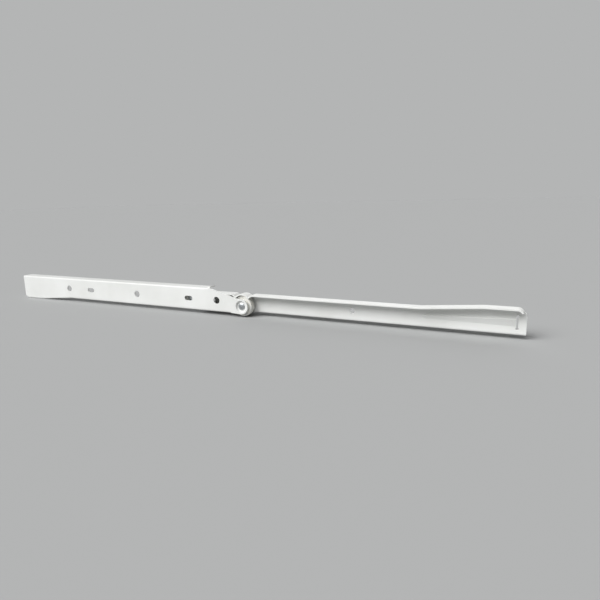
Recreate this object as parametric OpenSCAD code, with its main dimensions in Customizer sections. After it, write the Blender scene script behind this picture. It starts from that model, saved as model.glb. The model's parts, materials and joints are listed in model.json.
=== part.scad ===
// Roller drawer slide, left hand: a cabinet member and a drawer member, each rolled from one sheet of
// steel, each with one nylon roller on a shouldered rivet. Drawn open, its front roller in the cradle.
// X runs in the pull-out direction, Y from the cabinet side to the drawer side, and Z up.
// The origin is the middle screw hole of the cabinet member, on its mounting face, level with the
// rear roller's axis.

/* [Slide] */
// Nominal length of each member
slide_l = 300; // [280:5:400]
// Distance of each roller's axis from its own member's end
axle_in = 8.9; // [8.5:0.1:10]
// Gap between the cabinet side and the drawer side, which the slide fills
side_gap = 12.5; // [12.3:0.1:13.2]
// Distance of each roller's axis from the other member's end when the slide is shut
shut_lead = 20; // [18:0.5:22]
// Radius at the foot and head of the self-closing ramps
ramp_r = 60; // [40:5:80]

/* [Sheet] */
// Thickness of the steel sheet
sheet = 1.2; // [1:0.1:1.3]
// Inner radius of every fold
fold_r = 0.4; // [0.3:0.1:1]
// Radius of the cut corners of flanges and legs
corner_r = 2.5; // [1:0.5:4]

/* [Rollers] */
// Diameter of the tread
roller_d = 18.5; // [17.6:0.1:18.8]
// Width of the roller
roller_w = 6; // [5.6:0.1:6.2]
// Radius of the tread's edges
tread_edge_r = 0.9; // [0.5:0.1:1.2]
// Outer diameter of the shallow ring in each side of the roller
ring_d = 16; // [14:0.1:16.4]
// Depth of that ring
ring_depth = 0.4; // [0.2:0.1:0.6]
// Width of the raised rim inside that ring
hub_rim = 0.5; // [0.4:0.1:0.8]
// Diameter of the hub recess that takes the rivet's head
hub_d = 10.5; // [10:0.1:12]
// Depth of the hub recess
hub_depth = 1.6; // [1.4:0.1:2]

/* [Rivets] */
// Diameter of the shoulder that the roller turns on
shoulder_d = 6; // [5.5:0.1:6.5]
// Diameter of the head
head_d = 9.5; // [8.5:0.1:9.8]
// Thickness of the head
head_t = 1.2; // [0.9:0.1:1.3]
// Width and height of the bevel round the head
head_edge = 0.5; // [0.3:0.1:0.6]
// Diameter of the tenon through the sheet
tenon_d = 4; // [3.5:0.1:4.5]
// Diameter of the peened end
peen_d = 6.5; // [5.5:0.1:7]
// Height of the peened end
peen_t = 0.8; // [0.5:0.1:1]
// Diameter of the foot of the pressed boss that the rivet stands on
boss_d = 12.1; // [11.6:0.1:12.4]
// Diameter of the boss's flat top
boss_top_d = 10.3; // [10:0.1:10.6]

/* [Cabinet member] */
// Radius of the nose round the front axle
nose_r = 7; // [6.6:0.1:7.6]
// How far behind the front axle the track begins
track_in = 11; // [10:0.5:14]
// Height of the track's lip above the track
lip_h = 2.2; // [1.6:0.1:3]
// How far behind the member's front end the top flange begins
hood_in = 42; // [40:1:50]
// Radius of the top flange's flared lead-in
flare_r = 12; // [8:1:20]
// Angle of the flare
flare_turn = 18; // [10:1:25]
// Length of the flare's straight end
flare_l = 3; // [2:0.5:5]
// Drop of the self-closing ramp at the rear of the track
ramp_drop = 3.8; // [2:0.1:4.5]
// Length of that ramp
ramp_l = 52; // [40:1:60]
// How far the low stretch behind it runs on ahead of the shut rear roller's axis
low_run = 4; // [3:0.5:8]
// Height of the stop tab at the track's rear end
stop_h = 7; // [5:0.5:9]

/* [Drawer member] */
// Height of the member
member_h = 17.5; // [17:0.1:18.5]
// Height of its top flange above the rear axle
flange_up = 6.55; // [6.4:0.05:6.8]
// Distance of the flange's rear end from the rear axle
flange_in = 13.4; // [12:0.1:15]
// Distance of the cradle's middle from the rear axle
cradle_at = 56.3; // [50:0.1:62]
// Distance between the cradle's two tips
cradle_span = 13.4; // [13:0.1:14]
// Depth of the tips below the flange
tip_drop = 2; // [1.6:0.1:2.2]
// Height of the cradle's arch above the flange
arch_rise = 0.5; // [0.4:0.1:0.8]
// Radius of the rounded tips
tip_r = 0.8; // [0.6:0.1:1]
// Radius at the top of the shoulder outside each tip
shoulder_r = 3; // [2.5:0.1:3.5]
// Slope of the shoulder
shoulder_turn = 40; // [36:1:44]
// Height of the flange's rise towards the front
rise_h = 3.8; // [2:0.1:4]
// Length of the rise
rise_l = 52; // [40:1:54]
// How far the raised stretch runs on behind the shut front roller's axis
rise_run = 6; // [4:0.5:12]
// Distance of the front curl's start from the member's front end
curl_at = 6.4; // [5.8:0.1:7]
// Radius of the curl
curl_r = 5; // [4.5:0.1:5.4]
// Angle that the curl turns down
curl_turn = 52; // [45:1:60]
// Length of its straight end
curl_l = 0.8; // [0.6:0.1:1.2]
// Width of the leg that carries the drawer side
leg_w = 13; // [12:0.5:16]
// Distance of the leg's rear end from the rear axle
leg_in = 10; // [8:0.5:16]

/* [Centring ramp] */
// Distance of the slit's middle from the member's front end
slit_at = 6.3; // [5.8:0.1:6.6]
// Width of the slit
slit_w = 1.2; // [1:0.1:1.6]
// Height of the slit
slit_h = 9; // [8.6:0.1:10]
// Height of the slit's middle above the member's bottom
slit_up = 9.4; // [9:0.1:9.6]
// Diameter of the relief hole at each end of the slit
relief_d = 2.2; // [1.8:0.1:2.6]
// Length of the pressed ramp behind the slit
press_l = 67; // [50:1:70]
// How far the ramp stands off the sheet at the slit
press_h = 1.8; // [1.4:0.1:1.9]
// Height of its crest above the slit's middle
crest_up = 2.7; // [2.2:0.1:2.8]
// Width of its upper side at the slit
press_above = 1.8; // [1.6:0.1:2]
// Width of its lower side at the slit
press_below = 6.5; // [5.6:0.1:6.8]
// How far the crest climbs from the rear end of the ramp to the slit
crest_climb = 2.2; // [1.8:0.1:2.6]
// Size of the ramp's section at its rear end, as a share of that at the slit
press_start = 0.54; // [0.48:0.01:0.6]
// Length of the nose in front of that section
nose_l = 2; // [1.5:0.1:3]

/* [Screw holes] */
// Diameter of the cabinet member's screw holes
screw_d = 6.5; // [5:0.1:6.6]
// Pitch of the three holes
screw_pitch = 96; // [64:32:96]
// Distance of the first hole from the member's front end
screw_in = 35; // [34:1:38]
// Width of the two adjusting slots
slot_w = 4.5; // [4:0.1:5]
// Length of the slots
slot_l = 9; // [7:0.5:12]
// Distance between the two slots
slot_pitch = 128; // [96:32:128]
// Diameter of the drawer member's holes
drawer_d = 4.5; // [3.8:0.1:5]
// Height of the web's holes above the member's bottom
drawer_hole_up = 8.5; // [8:0.1:9]
// Distance of the first web hole from the rear axle
hole_at = 18.4; // [17:0.1:20]
// Distance from the first web hole to the second
near_pitch = 32; // [31:0.5:33]
// Distance from the second web hole to the third
far_pitch = 108; // [96:1:110]
// Pitch of the leg's three holes
leg_pitch = 96; // [64:32:96]

/* [Clearances] */
// Under the rear roller, between its tread and the track
track_gap = 0.25; // [0.2:0.05:0.3]
// Over the rear roller
hood_gap = 0.5; // [0.4:0.05:0.8]
// Over the front roller, below the drawer member's flange
flange_gap = 0.3; // [0.25:0.05:0.4]
// Beside the drawer member's flange
edge_gap = 0.6; // [0.4:0.1:1]
// On either side of the track's lip
lip_gap = 0.35; // [0.3:0.05:0.4]
// At each end of a roller
end_play = 0.2; // [0.1:0.05:0.25]
// All round a rivet's shoulder
bore_gap = 0.06; // [0.03:0.01:0.09]

/* [Hidden] */
$fn = 96;
cut = 1;                                        // how far a cutter runs past a face
fold_o = fold_r + sheet;                        // outer radius of a fold
tail = 0.5;                                     // web that is rolled with a fold
web_in = fold_o + tail / 2;                     // how far inside a flange's face the web plate begins
arc_step = 6;                                   // degrees from one station to the next along an arc
fold_steps = 6;                                 // facets round a fold
roller_r = roller_d / 2;

// Across the slide
drawer_y = side_gap - sheet;                    // the drawer web's roller side
channel_w = drawer_y - lip_gap;                 // the cabinet member's whole width
boss_h = sheet + 2 * lip_gap - end_play;        // a boss holds its roller off the web, clear of the lip
press_root = sheet / 4;                         // how deep the pressed ramp is rooted in the sheet

// Along the cabinet member
cab_front = screw_pitch + screw_in;
cab_rear = cab_front - slide_l;
front_axle_x = cab_front - axle_in;

// Up the cabinet member, from the rear roller's axis
track_z = -roller_r - track_gap;
hood_z = roller_r + hood_gap;
track_path_z = track_z - sheet;                 // underside of the track
hood_path_z = hood_z + sheet;                   // top of the top flange
front_axle_z = flange_up - sheet - flange_gap - roller_r;

// Along the drawer member, whose cradle stands over the front roller
rear_axle_x = front_axle_x - cradle_at;
drawer_front = rear_axle_x - axle_in + slide_l;
drawer_bottom = flange_up - member_h;
leg_rear = rear_axle_x + leg_in;
leg_hole_y = drawer_y + (fold_o + leg_w) / 2;
web_hole_z = drawer_bottom + drawer_hole_up;
web_holes = [for (d = [0, near_pitch, near_pitch + far_pitch]) rear_axle_x + hole_at + d];

// Travel from open to shut
travel = slide_l - axle_in - cradle_at - shut_lead;
echo(travel = travel, front_axle = [front_axle_x, front_axle_z], rear_axle_x = rear_axle_x);

// ---- Paths ----
// A path is a list of steps in the XZ plane. [length, 0] is straight, and [radius, turn] is an arc that
// turns by that many degrees, up when positive.

function turned(p, h) = [p.x * cos(h) - p.y * sin(h), p.x * sin(h) + p.y * cos(h)];
function arc_end(r, turn) = [r * sin(abs(turn)), sign(turn) * r * (1 - cos(turn))];
function step_end(s) = s[1] == 0 ? [s[0], 0] : arc_end(s[0], s[1]);

// Place and heading at the start of each step, and at the path's end
function stops(path, at = [0, 0], h = 0, i = 0) = i == len(path) ? [[at.x, at.y, h]]
    : concat([[at.x, at.y, h]], stops(path, at + turned(step_end(path[i]), h), h + path[i][1], i + 1));
function path_end(path, at = [0, 0]) = stops(path, at)[len(path)];

// Places and headings all along a path, close enough together to follow its arcs
function stations(path, at, h = 0) = let (st = stops(path, at, h)) concat(
    [for (i = [0:len(path) - 1])
        let (r = path[i][0], turn = path[i][1], n = turn == 0 ? 1 : max(4, ceil(abs(turn) / arc_step)))
        for (k = [0:n - 1])
            let (a = turn * k / n, p = turned(k == 0 ? [0, 0] : arc_end(r, a), st[i][2]))
            [st[i].x + p.x, st[i].y + p.y, st[i][2] + a]],
    [st[len(path)]]);

// Points that run beside a path, a distance to its left
function beside(path, at, side) = [for (s = stations(path, at)) [s.x, s.y] + side * [-sin(s[2]), cos(s[2])]];

// Two equal arcs with a straight between them, which climb h over a length l
function climb(l, h, r) = let (turn = atan2(l, 2 * r - h) - acos(2 * r / norm([l, 2 * r - h])))
    [[r, turn], [(l - 2 * r * sin(turn)) / cos(turn), 0], [r, -turn]];

// ---- Rolled sheet ----
// A section is a list of points [height above the path, distance across the slide].

function fold_arc(across, r, from, to) = [for (k = [0:fold_steps])
    let (a = from + (to - from) * k / fold_steps) [-fold_o + r * cos(a), across + r * sin(a)]];

// Web tail, fold and flange below the path, and a lip down from the flange's far edge if lip is given
function flange_section(w, lip = 0) = concat(
    [[-fold_o - tail, 0]], fold_arc(fold_o, fold_o, -90, 0),
    lip == 0 ? [[0, w], [-sheet, w]] : concat(fold_arc(w - fold_o, fold_o, 0, 90), [[-lip, w], [-lip, w - sheet]],
                                              fold_arc(w - fold_o, fold_r, 90, 0)),
    fold_arc(fold_o, fold_r, 0, -90), [[-fold_o - tail, sheet]]);
function upside_down(section) = [for (i = [len(section) - 1:-1:0]) [-section[i][0], section[i][1]]];

// Sweeps a section along a path. A section is a strip of sheet, so its first half is one face of the
// sheet and its second half comes back along the other, and each end is closed from face to face.
module roll_along(path, at, section, h = 0) {
    st = stations(path, at, h);
    n = len(section);
    last = (len(st) - 1) * n;
    polyhedron(
        [for (s = st) for (p = section) [s.x - p[0] * sin(s[2]), p[1], s.y + p[0] * cos(s[2])]],
        concat([for (i = [0:n / 2 - 2]) [i, n - 1 - i, n - 2 - i, i + 1]],
            [for (i = [0:n / 2 - 2]) [last + i + 1, last + n - 2 - i, last + n - 1 - i, last + i]],
            [for (k = [0:n:last - n]) for (i = [0:n - 1]) let (a = k + i, b = k + (i + 1) % n)
                for (f = [[a, b, a + n], [b, b + n, a + n]]) f]));
}

// An upright plate, from an outline in the XZ plane
module plate(y) translate([0, y + sheet, 0]) rotate([90, 0, 0]) linear_extrude(sheet) children();

module hole(x, z, d, y) translate([x, y - cut, z]) rotate([-90, 0, 0]) cylinder(d = d, h = sheet + 2 * cut);

module slot(x, z, w, l, y) {
    for (s = [-1, 1]) hole(x + s * (l - w) / 2, z, w, y);
    translate([x - (l - w) / 2, y - cut, z - w / 2]) cube([l - w, sheet + 2 * cut, w]);
}

// Rounds a corner of a level flange. At quarter 0 the metal lies towards +X and +Y, and each further
// quarter turns that a right angle anticlockwise.
module round_corner(x, y, z, quarter) translate([x, y, z]) rotate([0, 0, 90 * quarter])
    linear_extrude(4 * sheet, center = true) difference() {
        translate([-cut, -cut]) square(corner_r + cut);
        translate([corner_r, corner_r]) circle(r = corner_r);
    }

// A pressed boss that carries a roller, along +Z from the web's face, and the hollow behind it
module boss_outside() cylinder(d1 = boss_d, d2 = boss_top_d, h = boss_h);
module boss_hollow() {
    taper = (boss_d - boss_top_d) / boss_h;
    translate([0, 0, -sheet - cut])
        cylinder(d1 = boss_d - sheet + taper * cut, d2 = boss_top_d - sheet, h = boss_h + cut);
    cylinder(d = tenon_d, h = boss_h + cut);
}

// The two rollers' seats: the foot of each boss, with +Z towards the other member
module at_front_axle() translate([front_axle_x, sheet, front_axle_z]) rotate([-90, 0, 0]) children();
module at_rear_axle() translate([rear_axle_x, drawer_y, 0]) rotate([90, 0, 0]) children();

// ---- Cabinet member ----
stop_r = 2 * sheet;
track_rear = cab_rear + stop_r;
track_front = front_axle_x - track_in;
ramp_foot = cab_rear + shut_lead + low_run;
track_path = concat([[ramp_foot - track_rear, 0]], climb(ramp_l, ramp_drop, ramp_r),
    [[track_front - ramp_foot - ramp_l, 0]]);
track_start = [track_rear, track_path_z - ramp_drop];
stop_section = let (near = fold_o, far = channel_w - fold_o) [[0, near], [0, far], [-sheet, far], [-sheet, near]];
hood_path = let (flare = [[flare_r, flare_turn], [flare_l, 0]])
    concat([[cab_front - hood_in - path_end(flare).x - cab_rear, 0]], flare);
hood_start = [cab_rear, hood_path_z];

module cabinet_web() {
    low = beside(track_path, track_start, web_in);
    high = beside(hood_path, hood_start, -web_in);
    polygon(concat([[cab_rear, track_start.y + stop_r]], low,
        [[track_front, track_path_z], [front_axle_x, front_axle_z - nose_r],
         [front_axle_x, front_axle_z + nose_r], [front_axle_x - nose_r / 2, front_axle_z + nose_r]],
        [for (i = [len(high) - 1:-1:0]) high[i]]));
    translate([front_axle_x, front_axle_z]) circle(r = nose_r);
}

module cabinet_profile() color("white") difference() {
    union() {
        plate(0) cabinet_web();
        roll_along(hood_path, hood_start, flange_section(channel_w));
        roll_along(track_path, track_start, upside_down(flange_section(channel_w, lip_h + sheet)));
        roll_along([[stop_h, 0], [stop_r, 90], [stop_r, 0]], [cab_rear, track_start.y + stop_r + stop_h],
                   upside_down(stop_section), -90);
        at_front_axle() boss_outside();
    }
    at_front_axle() boss_hollow();
    for (i = [-1:1]) hole(i * screw_pitch, 0, screw_d, 0);
    for (s = [-1, 1]) slot(s * slot_pitch / 2, 0, slot_w, slot_l, 0);
    round_corner(cab_rear, channel_w, hood_path_z, 3);
    hood_end = path_end(hood_path, hood_start);
    round_corner(hood_end.x, channel_w, hood_end.y, 2);
}

// ---- Drawer member ----
arch_turn = 2 * atan(2 * (tip_drop + arch_rise) / cradle_span);
arch_r = cradle_span / 2 / sin(arch_turn) - tip_r;
shoulder_l = (tip_drop - (shoulder_r + tip_r) * (1 - cos(shoulder_turn))) / sin(shoulder_turn);
cradle = [[shoulder_r, -shoulder_turn], [shoulder_l, 0], [tip_r, shoulder_turn + arch_turn],
          [arch_r, -2 * arch_turn],
          [tip_r, arch_turn + shoulder_turn], [shoulder_l, 0], [shoulder_r, -shoulder_turn]];
cradle_l = path_end(cradle).x;
flange_rear = rear_axle_x + flange_in;
cradle_rear = front_axle_x - cradle_l / 2;
rise_end = drawer_front - shut_lead - rise_run;
flange_path = concat([[cradle_rear - flange_rear, 0]], cradle,
    [[rise_end - rise_l - cradle_rear - cradle_l, 0]], climb(rise_l, rise_h, ramp_r),
    [[drawer_front - curl_at - rise_end, 0], [curl_r, -curl_turn], [curl_l, 0]]);
flange_start = [flange_rear, flange_up];
flange_w = side_gap - sheet - edge_gap;
press_front = drawer_front - slit_at;
slit_z = drawer_bottom + slit_up;

module drawer_web() {
    top = beside(flange_path, flange_start, -web_in);
    corner = [drawer_front - corner_r, top[len(top) - 1].y - corner_r];
    polygon(concat(top,
        [[corner.x, corner.y + corner_r], [drawer_front, corner.y], [drawer_front, drawer_bottom + web_in],
         [leg_rear, drawer_bottom + web_in], [leg_rear, drawer_bottom + corner_r],
         [rear_axle_x, -flange_up], [rear_axle_x, flange_up], [flange_rear, flange_up]]));
    translate(corner) circle(r = corner_r);
    translate([rear_axle_x, 0]) circle(r = flange_up);
}

// The centring ramp is pressed out of the web. It has an upper and a wider lower side, which spread and
// stand off further towards the slit, and a short nose at the rear. Its foot is in the sheet.
function press_section(x, crest, share) = [
    [x, press_root, crest + share * press_above],
    [x, press_root - share * (press_h + press_root), crest],
    [x, press_root, crest - share * press_below]];

module press_form() {
    rear = press_front - press_l;
    crest = slit_z + crest_up;
    translate([0, drawer_y, 0]) polyhedron(
        concat([[rear - nose_l, press_root, crest - crest_climb - press_start * press_below / 4]],
            press_section(rear, crest - crest_climb, press_start), press_section(press_front, crest, 1)),
        [[0, 1, 2], [0, 2, 3], [1, 4, 5, 2], [2, 5, 6, 3], [5, 4, 6], [0, 3, 6, 4, 1]]);
}

module drawer_profile() color("white") difference() {
    union() {
        plate(drawer_y) drawer_web();
        translate([0, side_gap, 0]) mirror([0, 1, 0])
            roll_along(flange_path, flange_start, flange_section(flange_w));
        translate([0, drawer_y, 0])
            roll_along([[drawer_front - leg_rear, 0]], [leg_rear, drawer_bottom], upside_down(flange_section(leg_w)));
        at_rear_axle() boss_outside();
        press_form();
    }
    at_rear_axle() boss_hollow();
    translate([0, sheet, 0]) press_form();
    translate([press_front - slit_w / 2, drawer_y - press_h - cut, slit_z - slit_h / 2])
        cube([slit_w, press_h + sheet + 2 * cut, slit_h]);
    for (s = [-1, 1]) hole(press_front, slit_z + s * slit_h / 2, relief_d, drawer_y);
    for (x = web_holes) hole(x, web_hole_z, drawer_d, drawer_y);
    for (i = [0:2]) translate([drawer_front - screw_in - i * leg_pitch, leg_hole_y, drawer_bottom - cut])
        cylinder(d = drawer_d, h = sheet + 2 * cut);
    round_corner(drawer_front, drawer_y + leg_w, drawer_bottom, 2);
    round_corner(leg_rear, drawer_y + leg_w, drawer_bottom, 3);
    round_corner(flange_rear, side_gap - flange_w, flange_up, 0);
}

// ---- Rollers and rivets ----
// Each is drawn along +Z from the face of the web that carries it
module roller_section() difference() {
    union() {
        square([roller_r - tread_edge_r, roller_w]);
        translate([0, tread_edge_r]) square([roller_r, roller_w - 2 * tread_edge_r]);
        for (z = [tread_edge_r, roller_w - tread_edge_r])
            translate([roller_r - tread_edge_r, z]) circle(r = tread_edge_r);
    }
    translate([-cut, -cut]) square([shoulder_d / 2 + bore_gap + cut, roller_w + 2 * cut]);
    translate([-cut, roller_w - hub_depth]) square([hub_d / 2 + cut, hub_depth + cut]);
    for (z = [-cut, roller_w - ring_depth])
        translate([hub_d / 2 + hub_rim, z]) square([(ring_d - hub_d) / 2 - hub_rim, ring_depth + cut]);
}

module roller() translate([0, 0, boss_h + end_play]) rotate_extrude() roller_section();

module axle() {
    head_z = boss_h + roller_w - hub_depth + 2 * end_play;
    translate([0, 0, boss_h - sheet]) cylinder(d = tenon_d, h = sheet);
    translate([0, 0, boss_h]) cylinder(d = shoulder_d, h = head_z - boss_h);
    translate([0, 0, head_z]) cylinder(d = head_d, h = head_t - head_edge);
    translate([0, 0, head_z + head_t - head_edge])
        cylinder(d1 = head_d, d2 = head_d - 2 * head_edge, h = head_edge);
    translate([0, 0, boss_h - sheet - peen_t]) cylinder(d1 = peen_d - peen_t, d2 = peen_d, h = peen_t);
}

module front_roller() color("ivory") at_front_axle() roller();
module front_roller_axle() color("silver") at_front_axle() axle();
module rear_roller() color("ivory") at_rear_axle() roller();
module rear_roller_axle() color("silver") at_rear_axle() axle();

cabinet_profile();
front_roller();
front_roller_axle();
drawer_profile();
rear_roller();
rear_roller_axle();
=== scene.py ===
import json
import math

import bmesh
import bpy
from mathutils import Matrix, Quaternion, Vector


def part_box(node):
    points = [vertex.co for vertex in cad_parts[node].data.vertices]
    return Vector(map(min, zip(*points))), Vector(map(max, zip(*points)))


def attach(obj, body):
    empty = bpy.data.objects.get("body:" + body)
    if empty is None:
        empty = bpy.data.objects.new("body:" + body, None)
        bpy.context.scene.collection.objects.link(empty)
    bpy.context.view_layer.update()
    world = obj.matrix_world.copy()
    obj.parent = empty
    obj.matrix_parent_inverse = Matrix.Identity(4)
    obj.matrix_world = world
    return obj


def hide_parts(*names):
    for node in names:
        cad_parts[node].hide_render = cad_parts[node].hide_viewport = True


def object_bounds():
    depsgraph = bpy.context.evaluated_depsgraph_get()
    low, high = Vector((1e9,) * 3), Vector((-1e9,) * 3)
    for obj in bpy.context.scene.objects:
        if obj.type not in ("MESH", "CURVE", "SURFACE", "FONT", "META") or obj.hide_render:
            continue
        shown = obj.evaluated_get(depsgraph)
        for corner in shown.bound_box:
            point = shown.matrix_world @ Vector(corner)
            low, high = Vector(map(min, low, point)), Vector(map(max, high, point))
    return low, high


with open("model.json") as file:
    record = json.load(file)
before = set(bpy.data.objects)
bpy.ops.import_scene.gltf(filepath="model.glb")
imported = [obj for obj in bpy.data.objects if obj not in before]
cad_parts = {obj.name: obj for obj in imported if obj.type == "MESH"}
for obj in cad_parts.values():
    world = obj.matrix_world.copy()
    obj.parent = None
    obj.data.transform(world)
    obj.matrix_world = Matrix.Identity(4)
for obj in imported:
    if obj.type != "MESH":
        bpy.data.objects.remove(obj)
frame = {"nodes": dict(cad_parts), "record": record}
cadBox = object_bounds()
mm = 0.001
bodyOf = {node: body for body, nodes in frame["record"]["behaviour"]["bodies"].items() for node in nodes}
print("frame loaded:", ", ".join(sorted(frame["nodes"])))


def linear(hexColour):
    # sRGB hex to the linear colour that a socket takes
    channels = [int(hexColour[i:i + 2], 16) / 255 for i in (1, 3, 5)]
    return [c / 12.92 if c <= 0.04045 else ((c + 0.055) / 1.055) ** 2.4 for c in channels] + [1]


def addNode(tree, kind, inputs=None, **settings):
    # An input takes a plain value or another node's output, and goes by its number where several share a
    # name. What comes back is the new node's outputs.
    made = tree.nodes.new("ShaderNode" + kind)
    for name, value in settings.items():
        setattr(made, name, value)
    for name, value in (inputs or {}).items():
        if isinstance(value, bpy.types.NodeSocket):
            tree.links.new(value, made.inputs[name])
        else:
            made.inputs[name].default_value = value
    return made.outputs


mixShare, mixFrom, mixTo, mixed = 0, 6, 7, 2        # numbers of a Mix node's colour sockets


def newMaterial(name):
    material = bpy.data.materials.new(name)
    material.use_nodes = True
    tree = material.node_tree
    tree.nodes.clear()
    return material, tree


powder = {
    "white": "#EDEEEC",         # polyester white, a hair on the cool side
    "film": "#E4E5E2",          # where the film lies a little thinner
    "filmDrift": 45,            # length over which it goes from one to the other
    "filmRange": (0.35, 0.65),  # noise at which the film is thin and full
    "ior": 1.5,
    "roughness": 0.34,
    "orangePeel": 1.6,          # from one ripple of the film to the next
    "peelDepth": 0.06,          # from its crests to its hollows
    "peelShown": 0.6,           # strength of its bump
    "rubbed": "#B9B9B5",        # where the rollers have run
    "polished": 0.24,           # roughness there
    "rubLength": 60,            # length of a rub streak
    "rubWidth": 0.9,
    "rubRange": (0.38, 0.72),   # noise at which the rubbing is least and most
    "rubShare": (0.1, 0.75),    # least and most rubbing
    "laneSoft": 0.5,            # the lane fades out over this at either side
    "laneFacing": (0.6, 0.9),   # how squarely a face looks at the roller where rubbing starts and is full
}


def whitePowderCoat(name, laneLow, laneHigh):
    # Polyester powder baked on rolled steel: semi-gloss, with the fine ripple of orange peel, and burnished
    # grey in the lane where a roller runs. The corners are those of the roller's box.
    material, tree = newMaterial(name)
    place = addNode(tree, "TexCoord")["Object"]
    drift = addNode(tree, "TexNoise", {"Vector": place, "Scale": 1 / (powder["filmDrift"] * mm),
                                       "Detail": 3.0})
    thin, full = powder["filmRange"]
    thick = addNode(tree, "MapRange", {"Value": drift["Fac"], "From Min": thin, "From Max": full})["Result"]
    film = addNode(tree, "Mix", {mixShare: thick, mixFrom: linear(powder["film"]),
                                 mixTo: linear(powder["white"])}, data_type="RGBA")[mixed]

    # the lane: as wide as the roller, on what looks down at it from above or up from below
    middle = (laneLow + laneHigh) / 2
    half = (laneHigh.y - laneLow.y) / 2
    soft = powder["laneSoft"] * mm
    started, squarely = powder["laneFacing"]
    offAxle = addNode(tree, "Mapping", {"Vector": place, "Location": -middle})["Vector"]
    fromAxle = addNode(tree, "SeparateXYZ", {"Vector": offAxle})
    aside = addNode(tree, "Math", {0: fromAxle["Y"]}, operation="ABSOLUTE")["Value"]
    inLane = addNode(tree, "MapRange", {"Value": aside, "From Min": half + soft,
                                        "From Max": half - soft})["Result"]
    above = addNode(tree, "Math", {0: fromAxle["Z"]}, operation="SIGN")["Value"]
    outwards = addNode(tree, "NewGeometry")["True Normal"]
    up = addNode(tree, "SeparateXYZ", {"Vector": outwards})["Z"]
    turnedOff = addNode(tree, "Math", {0: up, 1: above}, operation="MULTIPLY")["Value"]
    faces = addNode(tree, "MapRange", {"Value": turnedOff, "From Min": -started,
                                       "From Max": -squarely})["Result"]
    lane = addNode(tree, "Math", {0: inLane, 1: faces}, operation="MULTIPLY")["Value"]

    # the rub marks in it, in streaks along the slide
    perLength = 1 / (powder["rubLength"] * mm)
    perWidth = 1 / (powder["rubWidth"] * mm)
    along = addNode(tree, "Mapping", {"Vector": place, "Scale": (perLength, perWidth, perLength)})["Vector"]
    streaks = addNode(tree, "TexNoise", {"Vector": along, "Scale": 1.0, "Detail": 4.0, "Roughness": 0.6})
    little, much = powder["rubRange"]
    least, most = powder["rubShare"]
    worn = addNode(tree, "MapRange", {"Value": streaks["Fac"], "From Min": little, "From Max": much,
                                      "To Min": least, "To Max": most})["Result"]
    rub = addNode(tree, "Math", {0: lane, 1: worn}, operation="MULTIPLY", use_clamp=True)["Value"]
    colour = addNode(tree, "Mix", {mixShare: rub, mixFrom: film, mixTo: linear(powder["rubbed"])},
                     data_type="RGBA")[mixed]
    rough = addNode(tree, "MapRange", {"Value": rub, "To Min": powder["roughness"],
                                       "To Max": powder["polished"]})["Result"]

    peel = addNode(tree, "TexNoise", {"Vector": place, "Scale": 1 / (powder["orangePeel"] * mm),
                                      "Detail": 1.5})
    ripple = addNode(tree, "Bump", {"Height": peel["Fac"], "Strength": powder["peelShown"],
                                    "Distance": powder["peelDepth"] * mm})["Normal"]
    coat = addNode(tree, "BsdfPrincipled", {"Base Color": colour, "Roughness": rough, "Normal": ripple,
                                            "IOR": powder["ior"]})["BSDF"]
    addNode(tree, "OutputMaterial", {"Surface": coat})
    return material


nylon = {
    "milky": "#EDECE6",
    "ior": 1.53,
    "roughness": 0.38,
    "seesIn": 0.25,             # share of the light that goes in and comes out again
    "seesInDeep": 1.2,          # how far it goes
    "seesInTint": (1.0, 0.95, 0.85),
    "tread": "#D8D6CD",         # the running line, where the tread has picked up grey from the track
    "line": 0.6,                # its width, as a share of the tread's
    "lineSoft": 0.6,            # it fades out over this
    "lineIn": (0.45, 0.15),     # how far inside the tread's radius it starts and is full
    "flow": 4,                  # cloudiness of the moulding
    "flowRange": (0.3, 0.7),    # noise at which it is clear and cloudy
    "grain": 0.35,              # spark grain of the mould, drawn coarser than its real tenth so that it shows
    "grainDepth": 0.01,
    "grainShown": 0.2,          # strength of its bump
}


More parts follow.
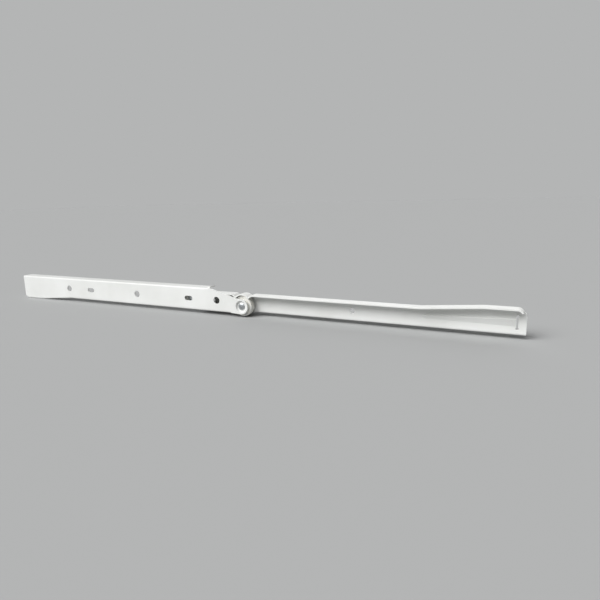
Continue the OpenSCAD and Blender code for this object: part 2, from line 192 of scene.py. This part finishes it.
def mouldedNylon(name, centre, radius, halfWidth):
    # Natural polyamide, injection moulded: milky, a little translucent, satin, with a grey running line
    material, tree = newMaterial(name)
    fromOrigin = addNode(tree, "TexCoord")["Object"]
    place = addNode(tree, "Mapping", {"Vector": fromOrigin, "Location": -centre})["Vector"]
    clouds = addNode(tree, "TexNoise", {"Vector": place, "Scale": 1 / (nylon["flow"] * mm), "Detail": 2.0})
    parts = addNode(tree, "SeparateXYZ", {"Vector": place})
    flat = addNode(tree, "CombineXYZ", {"X": parts["X"], "Z": parts["Z"]})["Vector"]
    out = addNode(tree, "VectorMath", {0: flat}, operation="LENGTH")["Value"]
    starts, isFull = nylon["lineIn"]
    onTread = addNode(tree, "MapRange", {"Value": out, "From Min": radius - starts * mm,
                                         "From Max": radius - isFull * mm})["Result"]
    away = addNode(tree, "Math", {0: parts["Y"]}, operation="ABSOLUTE")["Value"]
    edge = nylon["line"] * halfWidth
    soft = nylon["lineSoft"] * mm
    inLine = addNode(tree, "MapRange", {"Value": away, "From Min": edge + soft,
                                        "From Max": edge - soft})["Result"]
    line = addNode(tree, "Math", {0: onTread, 1: inLine}, operation="MULTIPLY")["Value"]
    clear, cloudy = nylon["flowRange"]
    patchy = addNode(tree, "MapRange", {"Value": clouds["Fac"], "From Min": clear,
                                        "From Max": cloudy})["Result"]
    dirt = addNode(tree, "Math", {0: line, 1: patchy}, operation="MULTIPLY")["Value"]
    colour = addNode(tree, "Mix", {mixShare: dirt, mixFrom: linear(nylon["milky"]),
                                   mixTo: linear(nylon["tread"])}, data_type="RGBA")[mixed]
    grain = addNode(tree, "TexNoise", {"Vector": place, "Scale": 1 / (nylon["grain"] * mm), "Detail": 2.0})
    relief = addNode(tree, "Bump", {"Height": grain["Fac"], "Strength": nylon["grainShown"],
                                    "Distance": nylon["grainDepth"] * mm})["Normal"]
    body = addNode(tree, "BsdfPrincipled",
                   {"Base Color": colour, "Normal": relief, "IOR": nylon["ior"],
                    "Roughness": nylon["roughness"], "Subsurface Weight": nylon["seesIn"],
                    "Subsurface Radius": nylon["seesInTint"],
                    "Subsurface Scale": nylon["seesInDeep"] * mm})["BSDF"]
    addNode(tree, "OutputMaterial", {"Surface": body})
    return material


zinc = {
    "bright": "#C6C9CB",
    "roughness": 0.3,
    "bloom": "#A9ADB0",         # dull bloom of the plating
    "dulled": 0.42,             # roughness where it has bloomed
    "bloomSize": 1.8,
    "bloomRange": (0.35, 0.62), # noise at which it is full and gone
    "turning": 1.38,            # from one turned ring to the next, drawn coarse so that it shows
    "turningDepth": 0.01,
    "turningShown": 0.25,       # strength of its bump
}
waveRings = 20 / math.tau       # rings of a Wave texture in each unit, at a scale of 1


def zincPlate(name, centre):
    # Bright zinc on a cold headed rivet: bluish, satin, with faint rings from its head's tool
    material, tree = newMaterial(name)
    fromOrigin = addNode(tree, "TexCoord")["Object"]
    place = addNode(tree, "Mapping", {"Vector": fromOrigin, "Location": -centre})["Vector"]
    bloom = addNode(tree, "TexNoise", {"Vector": place, "Scale": 1 / (zinc["bloomSize"] * mm), "Detail": 5.0,
                                       "Roughness": 0.6})["Fac"]
    dull, gone = zinc["bloomRange"]
    clear = addNode(tree, "MapRange", {"Value": bloom, "From Min": dull, "From Max": gone})["Result"]
    colour = addNode(tree, "Mix", {mixShare: clear, mixFrom: linear(zinc["bloom"]),
                                   mixTo: linear(zinc["bright"])}, data_type="RGBA")[mixed]
    rough = addNode(tree, "MapRange", {"Value": clear, "To Min": zinc["dulled"],
                                       "To Max": zinc["roughness"]})["Result"]
    rings = addNode(tree, "TexWave", {"Vector": place, "Scale": 1 / (zinc["turning"] * mm) / waveRings,
                                      "Distortion": 0.6, "Detail": 1.0},
                    wave_type="RINGS", rings_direction="Y")
    relief = addNode(tree, "Bump", {"Height": rings["Fac"], "Strength": zinc["turningShown"],
                                    "Distance": zinc["turningDepth"] * mm})["Normal"]
    metal = addNode(tree, "BsdfPrincipled", {"Base Color": colour, "Roughness": rough, "Normal": relief,
                                             "Metallic": 1.0})["BSDF"]
    addNode(tree, "OutputMaterial", {"Surface": metal})
    return material


def finishMesh(bm, name, material, smoothUpTo):
    # A mesh object at the origin, shaded round where its faces meet at less than smoothUpTo
    for face in bm.faces:
        face.smooth = True
    for edge in bm.edges:
        edge.smooth = len(edge.link_faces) != 2 or edge.calc_face_angle(0) < math.radians(smoothUpTo)
    mesh = bpy.data.meshes.new(name)
    bm.to_mesh(mesh)
    bm.free()
    mesh.materials.append(material)
    piece = bpy.data.objects.new(name, mesh)
    bpy.context.scene.collection.objects.link(piece)
    return piece


def claim(piece, node):
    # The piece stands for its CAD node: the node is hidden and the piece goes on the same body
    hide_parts(node)
    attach(piece, bodyOf[node])


def edgesOver(bm, degrees):
    return [e for e in bm.edges if len(e.link_faces) == 2 and e.calc_face_angle(0) > math.radians(degrees)]


member = {
    "merge": 0.07,              # corners closer than this become one
    "flat": 0.4,                # facets that meet at less than this become one face
    "foldStep": 22,             # facets of a fold meet at less than this, and sheared edges at more
    "edge": 0.1,                # radius that the coat leaves on a sheared edge
    "edgeFacets": 2,
    "roundStep": 16.5,          # facets that meet at less are shaded as one round
}


def rolledMember(node, lane):
    # A merged copy of the sheet, its sheared edges rounded by the coat. lane is the roller that runs on it.
    bm = bmesh.new()
    bm.from_mesh(frame["nodes"][node].data)
    bmesh.ops.remove_doubles(bm, verts=bm.verts, dist=member["merge"] * mm)
    bmesh.ops.dissolve_limit(bm, angle_limit=math.radians(member["flat"]), verts=bm.verts, edges=bm.edges)
    bmesh.ops.bevel(bm, geom=edgesOver(bm, member["foldStep"]), offset=member["edge"] * mm, affect="EDGES",
                    segments=member["edgeFacets"], profile=0.5, material=-1, clamp_overlap=False,
                    loop_slide=True)
    coat = whitePowderCoat(node + "_powder_coat", *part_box(lane))
    piece = finishMesh(bm, node + "_sheet", coat, member["roundStep"])
    weighted = piece.modifiers.new("flat faces stay flat", "WEIGHTED_NORMAL")
    weighted.keep_sharp = True
    claim(piece, node)
    print("rolled member:", node, len(piece.data.polygons), "faces")


turned = {
    "facets": 96,               # all the way round
    "merge": 0.002,             # corners closer than this become one, as they do on the axis
    "roundStep": 40,            # facets that meet at less are shaded as one round
}


def spunPiece(outline, centre, headSide):
    # outline is (radius, distance along the axis) in mm. It is spun about the roller's axis, with the head's
    # side towards +Y or -Y. One that starts on the axis ends there, and stays open.
    bm = bmesh.new()
    points = [bm.verts.new((r * mm, headSide * a * mm, 0)) for r, a in outline]
    sides = len(points) if outline[0][0] > 0 else len(points) - 1
    loop = [bm.edges.new((points[i], points[(i + 1) % len(points)])) for i in range(sides)]
    bmesh.ops.spin(bm, geom=points + loop, axis=(0, 1, 0), cent=(0, 0, 0), angle=math.tau,
                   steps=turned["facets"], use_merge=True)
    bmesh.ops.remove_doubles(bm, verts=bm.verts, dist=turned["merge"] * mm)
    bmesh.ops.recalc_face_normals(bm, faces=bm.faces)
    bmesh.ops.translate(bm, verts=bm.verts, vec=centre)
    return bm


roller = {
    "shoulder": 6,              # diameter of the rivet's shoulder
    "boreGap": 0.06,            # all round it
    "hub": 10.5,                # diameter of the recess for the rivet's head
    "hubDeep": 1.6,
    "rim": 0.5,                 # width of the raised rim round the hub
    "ring": 16,                 # outer diameter of the shallow ring in each side
    "ringDeep": 0.4,
    "treadEdge": 0.9,           # radius of the tread's edges
    "treadFacet": 15,           # angle of each facet of them
    "softEdge": 0.12,           # radius of the moulding's other edges
    "softFacets": 2,
}


def rollerPiece(node, headSide):
    low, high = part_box(node)
    centre = (low + high) / 2
    radius = (high.x - low.x) / 2 / mm
    half = (high.y - low.y) / 2 / mm
    bore = roller["shoulder"] / 2 + roller["boreGap"]
    hub = roller["hub"] / 2
    rim = hub + roller["rim"]
    ring = roller["ring"] / 2
    edge = roller["treadEdge"]
    turns = [math.radians(d) for d in range(0, 90 + 1, roller["treadFacet"])]
    corner = [(radius - edge + edge * math.sin(a), edge * math.cos(a)) for a in turns]
    inRing = half - roller["ringDeep"]
    inHub = half - roller["hubDeep"]
    outline = [(bore, -half), (rim, -half), (rim, -inRing), (ring, -inRing), (ring, -half)]
    outline += [(r, edge - h - half) for r, h in corner]
    outline += [(r, half - edge + h) for r, h in reversed(corner)]
    outline += [(ring, half), (ring, inRing), (rim, inRing), (rim, half), (hub, half), (hub, inHub),
                (bore, inHub)]
    bm = spunPiece(outline, centre, headSide)
    bmesh.ops.bevel(bm, geom=edgesOver(bm, turned["roundStep"]), offset=roller["softEdge"] * mm,
                    affect="EDGES", segments=roller["softFacets"], profile=0.5, material=-1,
                    clamp_overlap=False)
    moulding = mouldedNylon(node + "_nylon", centre, radius * mm, half * mm)
    claim(finishMesh(bm, node + "_moulding", moulding, turned["roundStep"]), node)
    print("roller:", node, "across", round(2 * radius, 2), "mm")


rivet = {
    "head": 9.5,                # diameter of the head
    "headThick": 1.2,
    "headEdge": 0.5,            # width and height of the bevel round it
    "crown": 0.125,             # how far its middle stands above its rim
    "tenon": 4,                 # diameter through the sheet
    "sheet": 1.2,
    "peen": 6.5,                # diameter of the peened end
    "peenTall": 0.8,
}


def rivetPiece(node, headSide):
    # The peened end is first along the axis, then the tenon, the shoulder and the head
    low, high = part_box(node)
    centre = (low + high) / 2
    top = (high.y - low.y) / 2 / mm
    shoulder = roller["shoulder"] / 2
    tenon = rivet["tenon"] / 2
    peen = rivet["peen"] / 2
    head = rivet["head"] / 2
    edge = rivet["headEdge"]
    peened = rivet["peenTall"] - top
    boss = peened + rivet["sheet"]
    under = top - rivet["headThick"]
    outline = [(0, -top), (peen - edge, -top), (peen, peened - rivet["peenTall"] / 2), (peen, peened),
               (tenon, peened), (tenon, boss), (shoulder, boss), (shoulder, under), (head, under),
               (head, top - edge), (head - edge, top - rivet["crown"]), (head / 2, top - rivet["crown"] / 3),
               (0, top)]
    bm = spunPiece(outline, centre, headSide)
    claim(finishMesh(bm, node + "_steel", zincPlate(node + "_zinc", centre), turned["roundStep"]), node)
    print("rivet:", node)


rolledMember("cabinet_profile", "rear_roller")
rolledMember("drawer_profile", "front_roller")
for end, headSide in (("front", 1), ("rear", -1)):
    rollerPiece(end + "_roller", headSide)
    rivetPiece(end + "_roller_axle", headSide)

studio = {
    "floor": "#B5B6B6",
    "floorRough": 0.9,
    "floorSize": 12000,
    "backdrop": "#B4B5B5",      # as bright as the floor comes out
    "sky": 0.06,                # strength of the even light from all round
    # each lamp's direction, seen from the slide with azimuth 0 in front, and how wide it looks from there
    "window": {"azimuth": -34, "elevation": 38, "spread": 38, "power": 2.7},
    "front": {"azimuth": 0, "elevation": 48, "spread": 40, "power": 1.0},
    "wall": {"azimuth": 172, "elevation": 26, "spread": 80, "power": 1.1},
}

bm = bmesh.new()
bmesh.ops.create_grid(bm, x_segments=1, y_segments=1, size=studio["floorSize"] / 2 * mm)
bmesh.ops.translate(bm, verts=bm.verts, vec=(0, 0, cadBox[0].z))
paper, paperTree = newMaterial("pale_paper")
matt = addNode(paperTree, "BsdfPrincipled", {"Base Color": linear(studio["floor"]),
                                             "Roughness": studio["floorRough"],
                                             "Specular IOR Level": 0.0})["BSDF"]
seeThrough = addNode(paperTree, "BsdfTransparent")["BSDF"]
below = addNode(paperTree, "NewGeometry")["Backfacing"]     # seen from below, the floor isn't in the way
oneSided = addNode(paperTree, "MixShader", {0: below, 1: matt, 2: seeThrough})["Shader"]
addNode(paperTree, "OutputMaterial", {"Surface": oneSided})
finishMesh(bm, "floor", paper, 0)

world = bpy.data.worlds.new("studio")
bpy.context.scene.world = world
world.use_nodes = True
air = world.node_tree
air.nodes.clear()
# the camera, gloss and glass see the backdrop, and the rest the even light
rays = addNode(air, "LightPath")
mirrored = addNode(air, "Math", {0: rays["Is Glossy Ray"], 1: rays["Is Transmission Ray"]},
                   operation="MAXIMUM")["Value"]
seen = addNode(air, "Math", {0: rays["Is Camera Ray"], 1: mirrored}, operation="MAXIMUM")["Value"]
glow = addNode(air, "Background", {"Color": linear("#FFFFFF"), "Strength": studio["sky"]})["Background"]
back = addNode(air, "Background", {"Color": linear(studio["backdrop"]), "Strength": 1.0})["Background"]
both = addNode(air, "MixShader", {0: seen, 1: glow, 2: back})["Shader"]
addNode(air, "OutputWorld", {"Surface": both})

for name in ("window", "front", "wall"):
    light = studio[name]
    lamp = bpy.data.lights.new(name, "SUN")
    lamp.energy = light["power"]
    lamp.angle = math.radians(light["spread"])
    holder = bpy.data.objects.new(name, lamp)
    around = math.radians(light["azimuth"])
    above = math.radians(light["elevation"])
    level = Vector((math.sin(around), -math.cos(around), 0))
    towards = level * math.cos(above) + Vector((0, 0, math.sin(above)))
    holder.rotation_mode = "QUATERNION"
    holder.rotation_quaternion = towards.to_track_quat("Z", "Y")
    bpy.context.scene.collection.objects.link(holder)
print("studio ready")

viewpoint = {
    # where the camera stands
    "ahead": 6.9,               # of the drawer member's front end
    "aside": 383,               # from the side of the rear roller that is next to its web
    "above": 104.5,             # the drawer member's underside
    # how it is turned
    "azimuth": 26,              # round from straight on to the web
    "elevation": 11.87,         # down from level
    "roll": -1.5,
    "lens": 30.15,
    "film": 36,                 # width of the sensor
    "near": 10,
    "far": 30000,
}

drawerLow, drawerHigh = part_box("drawer_profile")
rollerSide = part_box("rear_roller")[1].y
lens = bpy.data.cameras.new("camera")
lens.sensor_width = viewpoint["film"]
lens.lens = viewpoint["lens"]
lens.clip_start = viewpoint["near"] * mm
lens.clip_end = viewpoint["far"] * mm
camera = bpy.data.objects.new("camera", lens)
camera.location = (drawerHigh.x + viewpoint["ahead"] * mm, rollerSide - viewpoint["aside"] * mm,
                   drawerLow.z + viewpoint["above"] * mm)
turn = math.radians(viewpoint["azimuth"])
drop = math.radians(viewpoint["elevation"])
ahead = Vector((-math.sin(turn), math.cos(turn), 0)) * math.cos(drop) - Vector((0, 0, math.sin(drop)))
roll = Quaternion((0, 0, 1), math.radians(viewpoint["roll"]))
camera.rotation_mode = "QUATERNION"
camera.rotation_quaternion = ahead.to_track_quat("-Z", "Y") @ roll
bpy.context.scene.collection.objects.link(camera)
bpy.context.scene.camera = camera
bpy.context.scene.view_settings.view_transform = "Standard"
print("camera ready")
